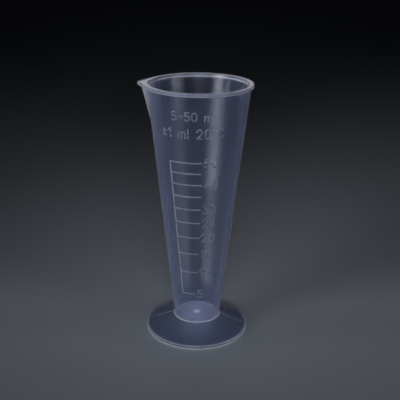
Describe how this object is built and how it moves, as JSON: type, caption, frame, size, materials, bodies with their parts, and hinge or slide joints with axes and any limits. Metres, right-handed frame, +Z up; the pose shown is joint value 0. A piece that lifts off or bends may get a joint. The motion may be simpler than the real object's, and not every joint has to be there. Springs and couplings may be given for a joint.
{
  "type": "graduated cylinder",
  "caption": "Conical graduated cylinder in translucent plastic, with a pouring spout, flanged rim, raised millilitre scale and a wide hollow foot.",
  "frame": {"origin": "on the cup's axis, at the level the foot stands on", "axes": "+Z up along the cup's axis, -X towards the pouring spout, -Y towards the raised scale"},
  "size_m": [0.0506, 0.0474, 0.117],
  "materials": {
    "moulded_plastic": "natural translucent polypropylene, polished mould",
    "raised_marks": "the same polypropylene, slightly frosted on the raised strokes"
  },
  "bodies": {
    "root": {"cone_wall": "moulded_plastic", "cup_floor": "moulded_plastic", "gate_mark": "moulded_plastic", "rim_flange": "moulded_plastic", "pouring_spout": "moulded_plastic", "foot_cone": "moulded_plastic", "foot_edge": "moulded_plastic", "scale_spine": "raised_marks", "graduation_lines": "raised_marks", "numeral_5": "raised_marks", "numeral_10": "raised_marks", "numeral_15": "raised_marks", "numeral_20": "raised_marks", "numeral_25": "raised_marks", "numeral_30": "raised_marks", "numeral_40": "raised_marks", "numeral_50": "raised_marks", "range_inscription": "raised_marks", "temperature_inscription": "raised_marks"}
  },
  "joints": []
}
